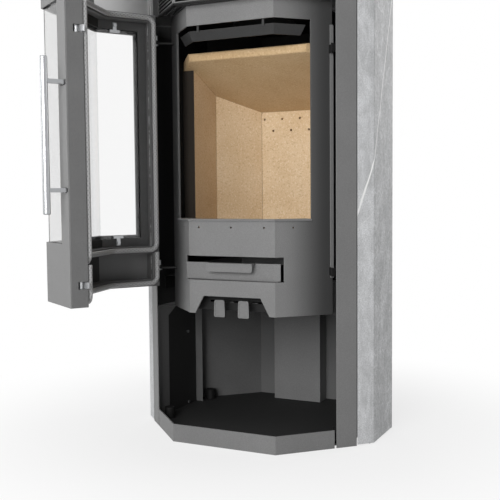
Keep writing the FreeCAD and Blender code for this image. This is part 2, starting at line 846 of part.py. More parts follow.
def make_drawer():
    """Ash drawer: front plate with its folded pull lip, and the tray behind it."""
    front = deep(drawer_front_depth)
    back = front + drawer_front_sheet
    heights = (drawer_front_bottom, drawer_front_top)
    plate = box((-drawer_half, drawer_half), (front, back), heights)
    sheet = drawer_front_sheet
    lip_front = front - drawer_lip_reach
    lip_x = (-drawer_lip_half, drawer_lip_half)
    shelf = box(lip_x, (lip_front, front), (drawer_front_top - sheet, drawer_front_top))
    drop = drawer_front_top - drawer_lip_drop
    apron = box(lip_x, (lip_front, lip_front + sheet), (drop, drawer_front_top))
    corners = [edge for edge in apron.Edges if abs(edge.CenterOfMass.z - drop) < tolerance]
    corners = [edge for edge in corners if abs(edge.Length - sheet) < tolerance]
    apron = apron.makeFillet(drawer_lip_corner, corners)
    save("ash_drawer_front", fuse([plate, shelf, apron]))

    low = base_plate_top + fit_gap
    tray = box((-tray_half, tray_half), (back, back + tray_length), (low, low + tray_height))
    hollow_x = (-tray_half + wall_sheet, tray_half - wall_sheet)
    hollow_y = (back + wall_sheet, back + tray_length - wall_sheet)
    save("ash_drawer_tray", tray.cut(box(hollow_x, hollow_y, (low + wall_sheet, far))))


def make_air_control():
    """Air box under the firebox and the two levers that slide in its front."""
    front = deep(air_box_front)
    outer_y = (front, front + air_box_length)
    outer = box((-air_box_half, air_box_half), outer_y, (air_box_bottom, base_plate_bottom))
    inner_x = (-air_box_half + wall_sheet, air_box_half - wall_sheet)
    inner_y = (front + wall_sheet, front + air_box_length - wall_sheet)
    shell = outer.cut(box(inner_x, inner_y, (air_box_bottom + wall_sheet, far)))
    slot_half_length = lever_x + lever_travel_out + lever_arm_width
    slot_z = (lever_arm_level - fit_gap, lever_arm_level + lever_arm_thickness + fit_gap)
    slot_y = (front - cut_over, front + wall_sheet + cut_over)
    slot = box((-slot_half_length, slot_half_length), slot_y, slot_z)
    save("air_box", shell.cut(slot))

    for name, side in (("air_lever_left", -1), ("air_lever_right", 1)):
        x = side * lever_x
        tab_front = deep(lever_tab_front)
        tab_back = tab_front + lever_tab_thickness
        half = lever_tab_width / 2
        top = lever_tab_bottom + lever_tab_height
        top_half = half - lever_tab_taper
        outline = [(x - half, lever_tab_bottom), (x + half, lever_tab_bottom)]
        outline += [(x + top_half, top), (x - top_half, top)]
        corners = [Vector(a, tab_front, b) for a, b in outline]
        tab_face = Part.Face(Part.makePolygon(corners + corners[:1]))
        tab = tab_face.extrude(Vector(0, lever_tab_thickness, 0))
        rounded = [edge for edge in tab.Edges if abs(edge.Length - lever_tab_thickness) < tolerance]
        tab = tab.makeFillet(lever_tab_corner, rounded)
        recess_half = half - lever_recess_margin
        recess_y = (tab_front - cut_over, tab_front + lever_recess_depth)
        recess_z = (lever_tab_bottom + lever_recess_margin, top - lever_recess_margin)
        recess = box((x - recess_half, x + recess_half), recess_y, recess_z)
        arm_x = (x - lever_arm_width / 2, x + lever_arm_width / 2)
        arm_z = (lever_arm_level, lever_arm_level + lever_arm_thickness)
        arm = box(arm_x, (tab_back, tab_back + lever_arm_length), arm_z)
        shoe_x = (x - lever_shoe_width / 2, x + lever_shoe_width / 2)
        shoe_y = (front + wall_sheet + fit_gap, tab_back + lever_arm_length)
        shoe = box(shoe_x, shoe_y, (arm_z[0], arm_z[0] + wall_sheet))
        save(name, fuse([tab.cut(recess), arm, shoe]))


def door_window(inset, thickness, grow):
    """Window space through the door's three facets."""
    reach = window_reach + grow
    cut_thickness = thickness + cut_over * 2
    return folded_plate(inset - cut_over, cut_thickness, reach, window_bottom - grow, window_top + grow)


def handle_space(level):
    """Room in the door for one arm of the handle over its turn."""
    gap = handle_arm / 2 + handle_clearance
    along = (latch_along - handle_slot_lead, latch_along + latch_room)
    return facet_block(1, along, (-cut_over, latch_inset + latch_room), (level - gap, level + gap))


def make_door_shell():
    """Door skin with its window, the rims welded behind it and slots for the handle's arms."""
    rim_top = top_rim_level + rim_width / 2
    skin = folded_plate(0, door_skin, door_reach, door_bottom, door_top)
    skin = skin.cut(door_window(0, door_skin, 0))
    flange_depth = upper_flange - door_skin
    edges = [folded_plate(door_skin, flange_depth, door_reach, door_top - door_skin, door_top)]
    rims = []
    for level in (door_bottom + rim_width / 2, mid_rim_level, top_rim_level):
        heights = (level - rim_width / 2, level + rim_width / 2)
        rims.append(folded_plate(door_skin, rim_inset - door_skin, door_reach, *heights))
    for side in (-1, 1):
        along = (door_reach - rim_width, door_reach)
        rims.append(facet_block(side, along, (door_skin, rim_inset), (door_bottom, rim_top)))
        flange = (door_reach - door_skin, door_reach)
        edges.append(facet_block(side, flange, (door_skin, upper_flange), (rim_top + fit_gap, door_top)))
    shell = fuse([skin] + edges)
    frame = fuse(rims)

    shaft_x, shaft_y = facet_point(1, latch_along, latch_inset)
    shaft_room = latch_radius + pin_running_gap
    shaft_z = (door_bottom + shaft_end, rim_top - shaft_end)
    frame = frame.cut(upright(shaft_room, shaft_x, shaft_y, *shaft_z))
    finger_along = (latch_along - latch_room, door_reach + cut_over)
    finger_inset = (latch_inset - latch_room, rim_inset + cut_over)
    gap = finger_height / 2 + finger_clearance
    for level in (latch_low, latch_high):
        frame = frame.cut(facet_block(1, finger_along, finger_inset, (level - gap, level + gap)))
    for level in (handle_low, handle_high):
        shell = shell.cut(handle_space(level))
        frame = frame.cut(handle_space(level))
    save("door_shell", swing(shell))
    save("door_rims", swing(frame))


def make_door_glass():
    """Prismatic glass, its tape, the inner frame, the clips and their screws."""
    glass_reach = window_reach + glass_margin
    glass_z = (window_bottom - glass_margin, window_top + glass_margin)
    glass = folded_plate(glass_inset, glass_thickness, glass_reach, *glass_z)
    save("door_glass", swing(glass))

    tape_thickness = glass_inset - door_skin
    tape = folded_plate(door_skin, tape_thickness, glass_reach, *glass_z)
    save("glass_seal", swing(tape.cut(door_window(door_skin, tape_thickness, tape_setback))))

    low = mid_rim_level + rim_width / 2
    high = top_rim_level - rim_width / 2
    frame = folded_plate(inner_frame_inset, inner_frame_sheet, door_reach - rim_width, low, high)
    frame = frame.cut(door_window(inner_frame_inset, inner_frame_sheet, glass_border))
    for level in (handle_low, handle_high):
        frame = frame.cut(handle_space(level))
    save("door_inner_frame", swing(frame))

    clips = []
    screws = []
    clip_face = inner_frame_inset + inner_frame_sheet
    glass_face = glass_inset + glass_thickness + fit_gap
    clip_back = clip_face + clip_sheet
    clip_half = clip_width / 2
    neck_half = clip_neck / 2
    for level, direction in ((window_bottom, -1), (window_top, 1)):
        clip_edge = level + direction * clip_edge_gap
        tab_z = sorted((clip_edge, level + direction * (glass_border - clip_edge_gap)))
        neck_z = sorted((clip_edge, level + direction * clip_height))
        screw_level = level + direction * clip_screw_from_glass
        for side in (-1, 1):
            tab_along = (clip_along - clip_half, clip_along + clip_half)
            neck_along = (clip_along - neck_half, clip_along + neck_half)
            tab = facet_block(side, tab_along, (glass_face, clip_back), tab_z)
            neck = facet_block(side, neck_along, (clip_face, clip_back), neck_z)
            clips.append(fuse([tab, neck]))
            x, y = facet_point(side, clip_along, clip_back)
            seat = Vector(x, y, screw_level)
            inwards = Vector(-side, 1, 0)
            screws.append(Part.makeCylinder(clip_screw_radius, clip_screw_height, seat, inwards))
        tab = box((-clip_half, clip_half), (deep(glass_face), deep(clip_back)), tab_z)
        neck = box((-neck_half, neck_half), (deep(clip_face), deep(clip_back)), neck_z)
        clips.append(fuse([tab, neck]))
        screws.append(crosswise(clip_screw_radius, 0, deep(clip_back), screw_level, clip_screw_height))
    save("glass_clips", swing(group(clips)))
    save("clip_screws", swing(group(screws)))


def make_door_seals():
    """Rope seals on the rims: a loop round the glass and a yoke round the drawer."""
    inset = rim_inset + seal_radius + fit_gap
    reach = door_reach - rim_width / 2
    ends = front_path(inset, reach)
    upper = [Vector(x, y, top_rim_level) for x, y in ends]
    upper += [Vector(x, y, mid_rim_level) for x, y in ends[::-1]]
    save("upper_seal", swing(rope(upper, seal_radius)))

    low = door_bottom + rim_width / 2
    start = mid_rim_level - seal_radius - fit_gap
    yoke = [Vector(*ends[0], start)]
    yoke += [Vector(x, y, low) for x, y in ends]
    yoke += [Vector(*ends[3], start)]
    save("lower_seal", swing(rope(yoke, seal_radius, closed=False)))


def make_hinges():
    """Brackets with their pins on the body, and the eye plates on the door."""
    pin_x, pin_y = facet_point(-1, hinge_along, hinge_inset)
    brackets = []
    pins = []
    plates = []
    for level in (hinge_low, hinge_high):
        low = level - hinge_plate
        tip_inset = hinge_inset - bracket_front
        outline = [(plate_reach - bracket_foot, plate_inset), (plate_reach, plate_inset)]
        outline += [(hinge_along + bracket_half, tip_inset), (hinge_along - bracket_half, tip_inset)]
        outline += [(hinge_along - bracket_side, hinge_inset + bracket_back)]
        bracket = prism([facet_point(-1, *corner) for corner in outline], low, level)
        brackets.append(bracket.cut(upright(pin_radius + pin_running_gap, pin_x, pin_y, 0, far)))
        head = upright(pin_radius + pin_head_rim, pin_x, pin_y, low - pin_head_height, low)
        pins.append(fuse([head, upright(pin_radius, pin_x, pin_y, low, level + pin_height)]))

        bottom = level + fit_gap
        eye = upright(hinge_eye, pin_x, pin_y, bottom, bottom + hinge_plate)
        grip = hinge_eye - hinge_arm_overlap
        outline = [(door_reach, rim_inset - hinge_arm_root), (door_reach, rim_inset - hinge_arm_edge)]
        outline += [(hinge_along - hinge_arm_offset, hinge_inset + grip)]
        outline += [(hinge_along - grip, hinge_inset - hinge_arm_offset)]
        arm = prism([facet_point(-1, *corner) for corner in outline], bottom, bottom + hinge_plate)
        plate = fuse([eye, arm])
        plates.append(plate.cut(upright(pin_radius + pin_running_gap, pin_x, pin_y, 0, far)))
    save("hinge_brackets", group(brackets))
    save("hinge_pins", group(pins))
    save("hinge_plates", swing(group(plates)))


def make_latch():
    """Latch shaft with two fingers, the handle bar, and the catches on the body."""
    x, y = facet_point(1, latch_along, latch_inset)
    axis = Vector(x, y, 0)
    low = door_bottom + shaft_end + fit_gap
    high = top_rim_level + rim_width / 2 - shaft_end - fit_gap
    shaft = upright(latch_radius, x, y, low, high)
    pieces = [shaft]
    for level in (latch_low, latch_high):
        heights = (level - finger_height / 2, level + finger_height / 2)
        along = (latch_along, latch_along + finger_length)
        inset = (latch_inset - finger_thickness / 2, latch_inset + finger_thickness / 2)
        finger = facet_block(1, along, inset, heights)
        finger.rotate(axis, Vector(0, 0, 1), latch_turn)
        pieces.append(finger)
    save("latch_shaft", swing(fuse(pieces)))

    bar_along = latch_along + handle_radius * math.cos(math.radians(handle_lean))
    bar_inset = latch_inset - handle_radius * math.sin(math.radians(handle_lean))
    bar_x, bar_y = facet_point(1, bar_along, bar_inset)
    bar = upright(handle_bar, bar_x, bar_y, handle_low - handle_overrun, handle_high + handle_overrun)
    bar = bar.makeFillet(handle_end_round, bar.Edges[0:1] + bar.Edges[2:3])
    pieces = [bar]
    for level in (handle_low, handle_high):
        arm_along = (latch_along + latch_radius + fit_gap, latch_along + handle_radius)
        arm_inset = (latch_inset - handle_arm / 2, latch_inset + handle_arm / 2)
        arm = facet_block(1, arm_along, arm_inset, (level - handle_arm / 2, level + handle_arm / 2))
        arm.rotate(axis, Vector(0, 0, 1), -handle_lean)
        pieces.append(arm)
    save("door_handle", swing(fuse(pieces)))

    keepers = []
    lip_back = latch_inset - finger_thickness / 2 - keeper_clearance
    lip_inset = (lip_back - keeper_sheet, lip_back)
    riser_start = latch_along + finger_length + keeper_clearance
    riser_along = (riser_start, riser_start + keeper_sheet)
    for level in (latch_low, latch_high):
        heights = (level - keeper_height / 2, level + keeper_height / 2)
        riser = facet_block(1, riser_along, (lip_inset[0], plate_inset), heights)
        lip = facet_block(1, (riser_start - keeper_lip + keeper_sheet, riser_start), lip_inset, heights)
        keepers.append(fuse([riser, lip]))
    save("latch_keepers", group(keepers))

    strip_start = riser_start + keeper_sheet + fit_gap
    strip_along = (strip_start, strip_start + keeper_strip_width)
    strip_inset = (plate_inset - keeper_sheet, plate_inset)
    strip = facet_block(1, strip_along, strip_inset, (keeper_strip_low, keeper_strip_high))
    save("keeper_strip", strip)

    brackets = []
    web_end = casing_sheet + wall_sheet
    web = [(plate_reach, plate_inset), (plate_reach, plate_back)]
    web += [(hinge_along + panel_bracket_far, web_end), (hinge_along + panel_bracket_near, web_end)]
    for side in (-1, 1):
        for level in (front_plate_bottom, front_plate_top - panel_bracket_drop):
            outline = [facet_point(side, *corner) for corner in web]
            brackets.append(prism(outline, level, level + shell_plate))
    save("panel_brackets", group(brackets))


os.makedirs("parts", exist_ok=True)
make_base()
make_jambs()
make_casing()
make_stones()
make_firebox()
make_lining()
make_drawer()
make_air_control()
make_door_shell()
make_door_glass()
make_door_seals()
make_hinges()
make_latch()
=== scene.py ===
import bpy
import bmesh
import math
from mathutils import Vector, Matrix


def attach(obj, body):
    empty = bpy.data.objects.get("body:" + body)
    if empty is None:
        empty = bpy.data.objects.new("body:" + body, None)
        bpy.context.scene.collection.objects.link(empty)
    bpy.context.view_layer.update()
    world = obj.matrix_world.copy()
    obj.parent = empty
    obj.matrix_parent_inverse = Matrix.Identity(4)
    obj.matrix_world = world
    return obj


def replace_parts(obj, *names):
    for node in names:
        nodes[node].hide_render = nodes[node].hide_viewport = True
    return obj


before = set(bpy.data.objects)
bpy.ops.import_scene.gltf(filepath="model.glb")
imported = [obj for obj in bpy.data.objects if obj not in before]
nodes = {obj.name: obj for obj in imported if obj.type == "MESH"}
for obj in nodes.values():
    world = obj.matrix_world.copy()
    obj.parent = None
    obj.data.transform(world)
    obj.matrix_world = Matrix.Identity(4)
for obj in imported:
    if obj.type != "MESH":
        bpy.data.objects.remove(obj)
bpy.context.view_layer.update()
print("frame loaded:", len(nodes), "nodes")


# sRGB hex value to linear light
def linearColor(hexText):
    parts = [int(hexText[i:i + 2], 16) / 255 for i in (1, 3, 5)]
    return [p / 12.92 if p <= 0.04045 else ((p + 0.055) / 1.055) ** 2.4 for p in parts] + [1.0]


# a link comes from a socket, or from a node's first output that is in use
# numbered inputs: Map Range 0 value, 1-2 from, 3-4 to; Mix 0 share, 2-3 numbers, 4-5 vectors, 6-7 colours
def addNode(tree, kind, values=None, links=None, **settings):
    node = tree.nodes.new(kind)
    for key, value in settings.items():
        setattr(node, key, value)
    for key, value in (values or {}).items():
        node.inputs[key].default_value = value
    for key, source in (links or {}).items():
        if isinstance(source, bpy.types.Node):
            source = next(socket for socket in source.outputs if socket.enabled)
        tree.links.new(source, node.inputs[key])
    return node


def startMaterial(name):
    material = bpy.data.materials.new(name)
    material.use_nodes = True
    tree = material.node_tree
    tree.nodes.clear()
    return material, tree, addNode(tree, "ShaderNodeTexCoord").outputs


def finishMaterial(tree, values, links):
    surface = addNode(tree, "ShaderNodeBsdfPrincipled", values, links)
    addNode(tree, "ShaderNodeOutputMaterial", links={"Surface": surface})


def perMetre(sizeMm):
    return 1000.0 / sizeMm


# values that the looks below give: a mottle is a grain size in mm, detail and roughness,
# a range goes from its first two numbers to its last two
def mottle(sizeMm, detail, roughness=0.5):
    return {"Scale": perMetre(sizeMm), "Detail": detail, "Roughness": roughness}


def ramp(fromStart, fromEnd, toStart, toEnd):
    return {1: fromStart, 2: fromEnd, 3: toStart, 4: toEnd}


def shades(look):
    return {6: linearColor(look["dark"]), 7: linearColor(look["light"])}


# arrises are rounded in the normal alone, and the lean of that normal tells how near they are
arris = {"samples": 6, "leanRange": (0.985, 0.8, 0.0, 1.0)}


def nearArris(tree, rounded):
    flat = addNode(tree, "ShaderNodeNewGeometry")
    agree = addNode(tree, "ShaderNodeVectorMath", links={0: rounded, 1: flat.outputs["Normal"]},
                    operation="DOT_PRODUCT")
    return addNode(tree, "ShaderNodeMapRange", ramp(*arris["leanRange"]), {0: agree})


# painted shade and painted sheen: where a sheet's faces that look along x, between two heights, have
# another tone
def innerSkin(tree, coords, skin):
    height = addNode(tree, "ShaderNodeSeparateXYZ", links={0: coords["Object"]}).outputs["Z"]
    above = addNode(tree, "ShaderNodeMath", {1: skin["lowM"]}, {0: height}, operation="GREATER_THAN")
    below = addNode(tree, "ShaderNodeMath", {1: skin["highM"]}, {0: height}, operation="LESS_THAN")
    facing = addNode(tree, "ShaderNodeVectorMath", {1: (skin["way"], 0.0, 0.0)},
                     {0: coords["Normal"]}, operation="DOT_PRODUCT")
    inside = addNode(tree, "ShaderNodeMath", {1: skin["least"]}, {0: facing}, operation="GREATER_THAN")
    band = addNode(tree, "ShaderNodeMath", links={0: above, 1: below}, operation="MULTIPLY")
    return addNode(tree, "ShaderNodeMath", links={0: band, 1: inside}, operation="MULTIPLY")


# painted highlight: a pale broken line down the side of the hinge-side rim
def paintedRimHighlight(tree, place, color, rimHighlight):
    plan = addNode(tree, "ShaderNodeVectorMath", {1: (1.0, 1.0, 0.0)}, {0: place}, operation="MULTIPLY")
    away = addNode(tree, "ShaderNodeVectorMath", {1: rimHighlight["place"]}, {0: plan}, operation="DISTANCE")
    line = addNode(tree, "ShaderNodeMapRange", ramp(*rimHighlight["lineRange"]), {0: away},
                   interpolation_type="SMOOTHSTEP")
    blobs = addNode(tree, "ShaderNodeTexNoise", mottle(*rimHighlight["blobs"]), {"Vector": place})
    broken = addNode(tree, "ShaderNodeMapRange", ramp(*rimHighlight["blobRange"]), {0: blobs})
    share = addNode(tree, "ShaderNodeMath", links={0: line, 1: broken}, operation="MULTIPLY")
    return addNode(tree, "ShaderNodeMix", {7: linearColor(rimHighlight["tone"])}, {0: share, 6: color},
                   data_type="RGBA")


# painted shade: the paint is darkened towards both sides of the front plates and valance
def paintedSideShade(tree, place, color, sideShade):
    across = addNode(tree, "ShaderNodeSeparateXYZ", links={0: place}).outputs["X"]
    apart = addNode(tree, "ShaderNodeMath", links={0: across}, operation="ABSOLUTE")
    share = addNode(tree, "ShaderNodeMapRange", ramp(*sideShade["apartRange"]), {0: apart},
                    interpolation_type="SMOOTHSTEP")
    return addNode(tree, "ShaderNodeMix", {7: linearColor(sideShade["tone"])}, {0: share, 6: color},
                   data_type="RGBA")


# painted sheet steel: sprayed heat-proof paint, matt, with fine orange peel, faint clouds
# and paler worn arrises
def paintedSteel(name, look):
    material, tree, coords = startMaterial(name)
    place = coords["Object"]
    cloud = addNode(tree, "ShaderNodeTexNoise", mottle(*look["cloud"]), {"Vector": place})
    grit = addNode(tree, "ShaderNodeTexNoise", mottle(*look["grit"]), {"Vector": place})
    tone = addNode(tree, "ShaderNodeMix", shades(look), {0: cloud}, data_type="RGBA")
    speck = addNode(tree, "ShaderNodeMapRange", ramp(*look["speckRange"]), {0: grit})
    color = addNode(tree, "ShaderNodeMix", {0: 1.0}, {6: tone, 7: speck},
                    data_type="RGBA", blend_type="MULTIPLY")
    sheenShare = None
    # painted shade and painted sheen: faces that look along x between two heights get another tone
    for skin in look.get("inner", []):
        share = innerSkin(tree, coords, skin)
        color = addNode(tree, "ShaderNodeMix", {7: linearColor(skin["tone"])}, {0: share, 6: color},
                        data_type="RGBA")
        if skin.get("paintedSheen"):
            sheenShare = share
    # painted highlight: a pale broken line on the rim
    if "rimHighlight" in look:
        color = paintedRimHighlight(tree, place, color, look["rimHighlight"])
    # painted shade: darker towards both sides
    if "sideShade" in look:
        color = paintedSideShade(tree, place, color, look["sideShade"])
    rounded = addNode(tree, "ShaderNodeBevel", {"Radius": look["arrisM"]}, samples=arris["samples"])
    worn = addNode(tree, "ShaderNodeMath", {1: look["worn"]}, {0: nearArris(tree, rounded)},
                   operation="MULTIPLY")
    color = addNode(tree, "ShaderNodeMix", {7: linearColor(look["edge"])}, {0: worn, 6: color},
                    data_type="RGBA")
    smooth = look["rough"] - look["roughDrift"]
    coarse = look["rough"] + look["roughDrift"]
    rough = addNode(tree, "ShaderNodeMapRange", ramp(0.0, 1.0, smooth, coarse), {0: cloud})
    peel = addNode(tree, "ShaderNodeBump", {"Strength": look["peel"], "Distance": look["peelM"]},
                   {"Height": grit, "Normal": rounded})
    links = {"Base Color": color, "Roughness": rough, "Normal": peel}
    # the painted sheen band is also made metallic, with its own roughness
    if sheenShare:
        links["Metallic"] = sheenShare
        links["Roughness"] = addNode(tree, "ShaderNodeMix", {3: look["sheenRough"]}, {0: sheenShare, 2: rough})
    finishMaterial(tree, {"IOR": look["ior"], "Specular IOR Level": look["specular"]}, links)
    return material


paintLook = {
    "cloud": (90, 3.0), "grit": (1.6, 2.0), "speckRange": (0.35, 0.65, 0.9, 1.08),
    "rough": 0.5, "roughDrift": 0.06, "peel": 0.25, "peelM": 0.0004, "arrisM": 0.001, "worn": 0.35,
    "sheenRough": 0.42, "ior": 1.5, "specular": 0.2}
greyLook = dict(paintLook, dark="#707070", light="#7b7b7b", edge="#b4b4b4", rough=0.46, peel=0.2)
greyPaint = paintedSteel("heat_proof_grey_paint", greyLook)
platePaint = paintedSteel("heat_proof_grey_plate_paint", dict(
    greyLook, dark="#747474", light="#808080",
    sideShade={"apartRange": (0.11, 0.19, 0.0, 1.0), "tone": "#404040"}))

# skins of painted shade and painted sheen: heights in metres, the way along x that they look and the least
# cosine to it
slanting = 0.5
squareOn = 0.92
footSkin = {"lowM": 0.0, "highM": 0.43, "way": 1.0}
wholeSkin = {"lowM": 0.0, "highM": 1.2, "way": 1.0}
# door paint: a pale metallic band on the inner faces above the top rope is a painted sheen; below the
# lower rope the inner faces take an even grey, and the front facet's inner face a dark painted shade
doorPaint = paintedSteel("heat_proof_grey_door_paint", dict(greyLook, inner=[
    dict(wholeSkin, lowM=0.96, least=slanting, tone="#c0c0c0", paintedSheen=True),
    dict(footSkin, least=slanting, tone="#747474"),
    dict(footSkin, least=squareOn, tone="#404040")]))  # painted shade: the front facet's inner face is painted dark
rimPaint = paintedSteel("door_rim_grey_paint", dict(
    paintLook, dark="#606060", light="#6c6c6c", edge="#a8a8a8", cloud=(60, 3.0), grit=(1.4, 2.0),
    rough=0.45, peel=0.2,
    rimHighlight={"tone": "#c9c9c9", "place": (-0.2265, -0.1538, 0.0), "blobs": (16, 4.0, 0.65),
          "lineRange": (0.0026, 0.00104, 0.0, 1.0), "blobRange": (0.47, 0.6, 0.0, 0.85)}))
# painted shade: the frame's faces that look along x are painted darker
framePaint = paintedSteel("door_frame_dark_paint", dict(
    paintLook, dark="#505050", light="#5a5a5a", edge="#7a7a7a", cloud=(80, 3.0),
    inner=[dict(wholeSkin, least=squareOn, tone="#303030")]))
darkPaint = paintedSteel("heat_proof_dark_grey_paint", dict(
    paintLook, dark="#303030", light="#393939", edge="#707070", cloud=(80, 3.0)))
blackPaint = paintedSteel("heat_proof_black_paint", dict(
    paintLook, dark="#161616", light="#1e1e1e", edge="#4c4c4c", cloud=(70, 3.0), grit=(1.5, 2.0),
    rough=0.6, peel=0.3))
floorPaint = paintedSteel("bay_floor_black_paint", dict(
    paintLook, dark="#262626", light="#2e2e2e", edge="#4a4a4a", cloud=(60, 3.0), grit=(1.4, 2.0),
    rough=0.75, peel=0.4))
bayPaint = paintedSteel("bay_wall_grey_paint", dict(
    paintLook, dark="#5c5c5c", light="#686868", edge="#8c8c8c"))
# painted shade: the walls' faces that look along x, either way, are painted near black
wallPaint = paintedSteel("casing_wall_paint_with_painted_shade", dict(
    paintLook, dark="#5e5e5e", light="#686868", edge="#7a7a7a", rough=0.55,
    inner=[dict(wholeSkin, way=way, least=slanting, tone="#2b2b2b") for way in (1.0, -1.0)]))

# moulded plastic of the feet: black, with the same kind of fine skin
blackKnob = paintedSteel("black_moulded_knob", dict(
    paintLook, dark="#0e0e0e", light="#161616", edge="#303030", cloud=(20, 3.0), grit=(0.9, 2.0),
    rough=0.55, peel=0.3))
print("paints ready")


# soapstone: sawn and honed talc rock, soft grey with darker flecks, cloudy bands
# and thin white talc veins
soapstoneLook = {
    "dark": "#a3a4a5", "light": "#d8d9db", "hair": "#d4d5d6", "vein": "#f0f0ef",
    "cloud": (55, 5.0, 0.6), "fleck": (2.6, 4.0, 0.7), "fleckRange": (0.3, 0.7, 0.7, 1.22),
    "band": (26, 5.0), "bandTwist": 1.6, "bandTall": 0.35, "bandRange": (0.3, 0.7, 0.84, 1.12),
    "strewn": 0.035,  # how far the bands bend the cracks
    "hairMm": 62, "hairRange": (0.002, 0.012, 0.4, 0.0),
    # faces left as sawn
    "sawnLeast": 0.9, "tooth": (5.5, 4.0, 0.75), "toothRange": (0.32, 0.68, 0.6, 1.06),
    "webMm": 34, "webRange": (0.012, 0.045, 0.75, 0.0), "patchRange": (0.42, 0.62, 0.1, 1.0),
    # a vein is a plane through the rock: a point, its normal, half width in metres and strength
    "veins": [((0.289, -0.0059, 0.7993), (-0.0825, -0.2257, 0.0799), 0.0013, 1.0),
              ((0.289, -0.0700, 0.7600), (0.73, 0.77, 1.0), 0.0006, 0.16),
              ((0.262, -0.0990, 0.4650), (1.1, -2.6, 1.0), 0.0005, 0.14),
              ((-0.289, -0.02, 0.7000), (0.3, 2.2, 1.0), 0.0008, 0.6),
              ((-0.289, 0.02, 0.3000), (0.2, -1.4, 1.0), 0.0006, 0.3),
              ((0.10, 0.05, 1.1080), (1.0, 0.55, 0.3), 0.0009, 0.5),
              ((-0.18, -0.05, 1.1080), (0.7, -1.0, 0.2), 0.0007, 0.35)],
    "veinCore": 0.5, "veinRim": 1.6, "fadeFromM": 0.22, "fadeToM": 0.45,
    "wander": (70, 2.0), "wanderRange": (0.0, 1.0, -0.004, 0.004),
    "swellRange": (0.2875, 0.268, 1.0, 1.6),  # wider away from the right-hand face
    "arrisM": 0.0015, "roughRange": (0.0, 1.0, 0.5, 0.68), "hone": 0.2, "honeM": 0.0005, "ior": 1.54}


# the faces that look along x are left as sawn: coarser flecks and a pale web of fine cracks
def sawnFaces(tree, coords, look, color, cloud, strewn):
    facing = addNode(tree, "ShaderNodeVectorMath", links={0: coords["Normal"]}, operation="ABSOLUTE")
    sideways = addNode(tree, "ShaderNodeSeparateXYZ", links={0: facing}).outputs["X"]
    sawn = addNode(tree, "ShaderNodeMath", {1: look["sawnLeast"]}, {0: sideways}, operation="GREATER_THAN")
    coarse = addNode(tree, "ShaderNodeTexNoise", mottle(*look["tooth"]), {"Vector": coords["Object"]})
    tooth = addNode(tree, "ShaderNodeMapRange", ramp(*look["toothRange"]), {0: coarse})
    color = addNode(tree, "ShaderNodeMix", links={0: sawn, 6: color, 7: tooth},
                    data_type="RGBA", blend_type="MULTIPLY")
    web = addNode(tree, "ShaderNodeTexVoronoi", {"Scale": perMetre(look["webMm"])}, {"Vector": strewn},
                  feature="DISTANCE_TO_EDGE")
    thread = addNode(tree, "ShaderNodeMapRange", ramp(*look["webRange"]), {0: web})
    patches = addNode(tree, "ShaderNodeMapRange", ramp(*look["patchRange"]), {0: cloud})
    strands = addNode(tree, "ShaderNodeMath", links={0: thread, 1: patches}, operation="MULTIPLY")
    webbed = addNode(tree, "ShaderNodeMath", links={0: strands, 1: sawn}, operation="MULTIPLY")
    return addNode(tree, "ShaderNodeMix", {7: linearColor(look["hair"])}, {0: webbed, 6: color},
                   data_type="RGBA")


def talcVeins(tree, place, look, color):
    wander = addNode(tree, "ShaderNodeTexNoise", mottle(*look["wander"]), {"Vector": place})
    drift = addNode(tree, "ShaderNodeMapRange", ramp(*look["wanderRange"]), {0: wander})
    across = addNode(tree, "ShaderNodeSeparateXYZ", links={0: place}).outputs["X"]
    swell = addNode(tree, "ShaderNodeMapRange", ramp(*look["swellRange"]), {0: across})
    for point, normal, half, strength in look["veins"]:
        offset = addNode(tree, "ShaderNodeVectorMath", {1: point}, {0: place}, operation="SUBTRACT")
        away = addNode(tree, "ShaderNodeVectorMath", {1: Vector(normal).normalized()}, {0: offset},
                       operation="DOT_PRODUCT")
        bent = addNode(tree, "ShaderNodeMath", links={0: away, 1: drift}, operation="ADD")
        near = addNode(tree, "ShaderNodeMath", links={0: bent}, operation="ABSOLUTE")
        slim = addNode(tree, "ShaderNodeMath", links={0: near, 1: swell}, operation="DIVIDE")
        reach = addNode(tree, "ShaderNodeVectorMath", links={0: offset}, operation="LENGTH")
        fading = addNode(tree, "ShaderNodeMapRange",
                         ramp(look["fadeFromM"], look["fadeToM"], strength, 0.0), {0: reach},
                         interpolation_type="SMOOTHSTEP")
        line = addNode(tree, "ShaderNodeMapRange",
                       {1: half * look["veinCore"], 2: half * look["veinRim"], 4: 0.0},
                       {0: slim, 3: fading}, interpolation_type="SMOOTHSTEP")
        color = addNode(tree, "ShaderNodeMix", {7: linearColor(look["vein"])}, {0: line, 6: color},
                        data_type="RGBA")
    return color


